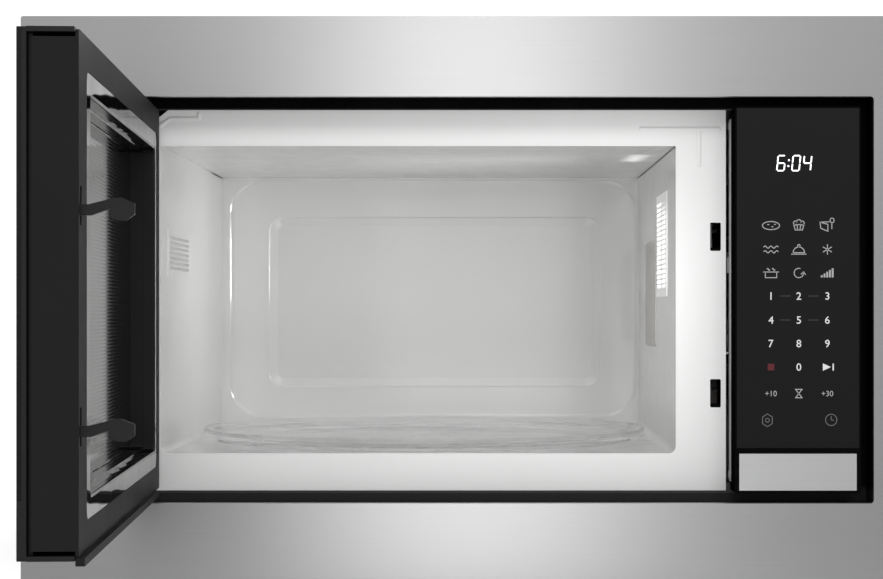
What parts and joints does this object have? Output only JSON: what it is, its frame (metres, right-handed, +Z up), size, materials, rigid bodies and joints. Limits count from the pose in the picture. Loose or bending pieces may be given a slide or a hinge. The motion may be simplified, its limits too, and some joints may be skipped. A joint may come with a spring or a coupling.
{
  "type": "built-in microwave",
  "caption": "Built-in microwave oven in a stainless trim frame: side-hinged door standing open, touch panel, lit cavity with a glass turntable, and a sprung two-hook door latch.",
  "frame": {"origin": "centre of the trim opening on the plane of the cabinet face, which is the centre of the four cabinet screws", "axes": "+X right, +Y into the cabinet, +Z up"},
  "size_m": [0.759, 0.9567, 0.46],
  "materials": {
    "stainless": "brushed",
    "black_liner": "glossy",
    "zinc_steel": "zinc plated",
    "casing_paint": "satin paint",
    "white_paint": "gloss paint",
    "cavity_enamel": "gloss enamel",
    "grey_paint": "satin paint",
    "mica": "matte",
    "black_plastic": "fine texture",
    "black_gloss": "high gloss",
    "black_glass": "back printed",
    "tray_glass": "clear",
    "bulb_glass": "clear",
    "rubber": "matte",
    "screw_steel": "plated",
    "iron_core": "varnished",
    "circuit_board": "solder mask",
    "white_plastic": "moulded",
    "aluminium": "plain",
    "spring_steel": "drawn"
  },
  "bodies": {
    "chassis": {"trim_frame": "stainless", "trim_liner": "black_liner", "trim_bracket_left": "zinc_steel", "trim_bracket_right": "zinc_steel", "trim_clips": "white_plastic", "bracket_screws": "screw_steel", "outer_casing": "casing_paint", "base_plate": "casing_paint", "rear_panel": "zinc_steel", "casing_screws": "screw_steel", "feet": "rubber", "front_plate": "white_paint", "cavity_shell": "cavity_enamel", "cavity_ceiling": "cavity_enamel", "cavity_back": "cavity_enamel", "waveguide_cover": "mica", "lamp_screen": "cavity_enamel", "vent_screen": "cavity_enamel", "turntable_motor": "zinc_steel", "hinge_upper": "zinc_steel", "hinge_lower": "zinc_steel", "latch_board": "black_plastic", "release_solenoid": "zinc_steel", "interlock_switches": "black_plastic", "control_housing": "black_plastic", "control_glass": "black_glass", "touch_sensor": "white_plastic", "control_strip": "stainless", "control_board": "circuit_board", "display_module": "black_plastic", "panel_bracket": "grey_paint", "waveguide": "zinc_steel", "magnetron": "aluminium", "hv_transformer": "iron_core", "hv_capacitor": "aluminium", "hv_diode": "black_plastic", "fan_shroud": "black_plastic", "fan_motor": "iron_core", "lamp_housing": "zinc_steel", "lamp_socket": "white_plastic", "cavity_lamp": "bulb_glass", "noise_filter": "circuit_board", "cord_gland": "black_plastic"},
    "door": {"door_front_frame": "black_plastic", "door_glass": "black_glass", "door_strip": "stainless", "door_frame": "casing_paint", "door_screen": "casing_paint", "door_bezel": "black_plastic", "door_inner_panel": "black_gloss", "latch_spring": "spring_steel"},
    "door_latch": {"door_latch": "black_plastic"},
    "release_slider": {"release_slider": "black_plastic"},
    "turntable_drive": {"turntable_coupler": "white_plastic"},
    "glass_tray": {"glass_tray": "tray_glass"},
    "roller_ring": {"roller_ring": "white_plastic"},
    "fan_impeller": {"fan_impeller": "white_plastic"},
    "roller_wheel_1": {"roller_wheel_1": "white_plastic"},
    "roller_wheel_2": {"roller_wheel_2": "white_plastic"},
    "roller_wheel_3": {"roller_wheel_3": "white_plastic"}
  },
  "joints": [
    {"name": "door_hinge", "type": "hinge", "parent": "chassis", "child": "door", "pos_m": [-0.293, -0.002, 0], "axis": [0, 0, 1], "range_deg": [-5, 86.6]},
    {"name": "latch_slide", "type": "slide", "parent": "door", "child": "door_latch", "axis": [0, 0, 1], "range_m": [-0.0035, 0], "stiffness_N_per_m": 300, "springref_m": -0.0035, "deforming": ["latch_spring"]},
    {"name": "release_slide", "type": "slide", "parent": "chassis", "child": "release_slider", "axis": [0, 0, 1], "range_m": [-0.0035, 0]},
    {"name": "tray_turn", "type": "hinge", "parent": "chassis", "child": "turntable_drive", "pos_m": [-0.0589, 0.236, -0.1355], "axis": [0, 0, 1], "continuous": true},
    {"name": "tray_lift", "type": "slide", "parent": "turntable_drive", "child": "glass_tray", "axis": [0, 0, 1], "range_m": [0, 0.03]},
    {"name": "ring_turn", "type": "hinge", "parent": "chassis", "child": "roller_ring", "pos_m": [-0.0589, 0.236, -0.1355], "axis": [0, 0, 1], "continuous": true},
    {"name": "fan_spin", "type": "hinge", "parent": "chassis", "child": "fan_impeller", "pos_m": [0.22825, 0.44, 0.0005], "axis": [0, 1, 0], "continuous": true},
    {"name": "roller_spin_1", "type": "hinge", "parent": "roller_ring", "child": "roller_wheel_1", "pos_m": [0.0461, 0.236, -0.1355], "axis": [1, 0, 0], "continuous": true},
    {"name": "roller_spin_2", "type": "hinge", "parent": "roller_ring", "child": "roller_wheel_2", "pos_m": [-0.1114, 0.32693, -0.1355], "axis": [-0.5, 0.866, 0], "continuous": true},
    {"name": "roller_spin_3", "type": "hinge", "parent": "roller_ring", "child": "roller_wheel_3", "pos_m": [-0.1114, 0.14507, -0.1355], "axis": [-0.5, -0.866, 0], "continuous": true}
  ],
  "couplings": [
    {"joint": "release_slide", "follows": "latch_slide", "ratio": 1},
    {"joint": "ring_turn", "follows": "tray_turn", "ratio": 0.5},
    {"joint": "roller_spin_1", "follows": "tray_turn", "ratio": -9.1304},
    {"joint": "roller_spin_2", "follows": "tray_turn", "ratio": -9.1304},
    {"joint": "roller_spin_3", "follows": "tray_turn", "ratio": -9.1304}
  ]
}
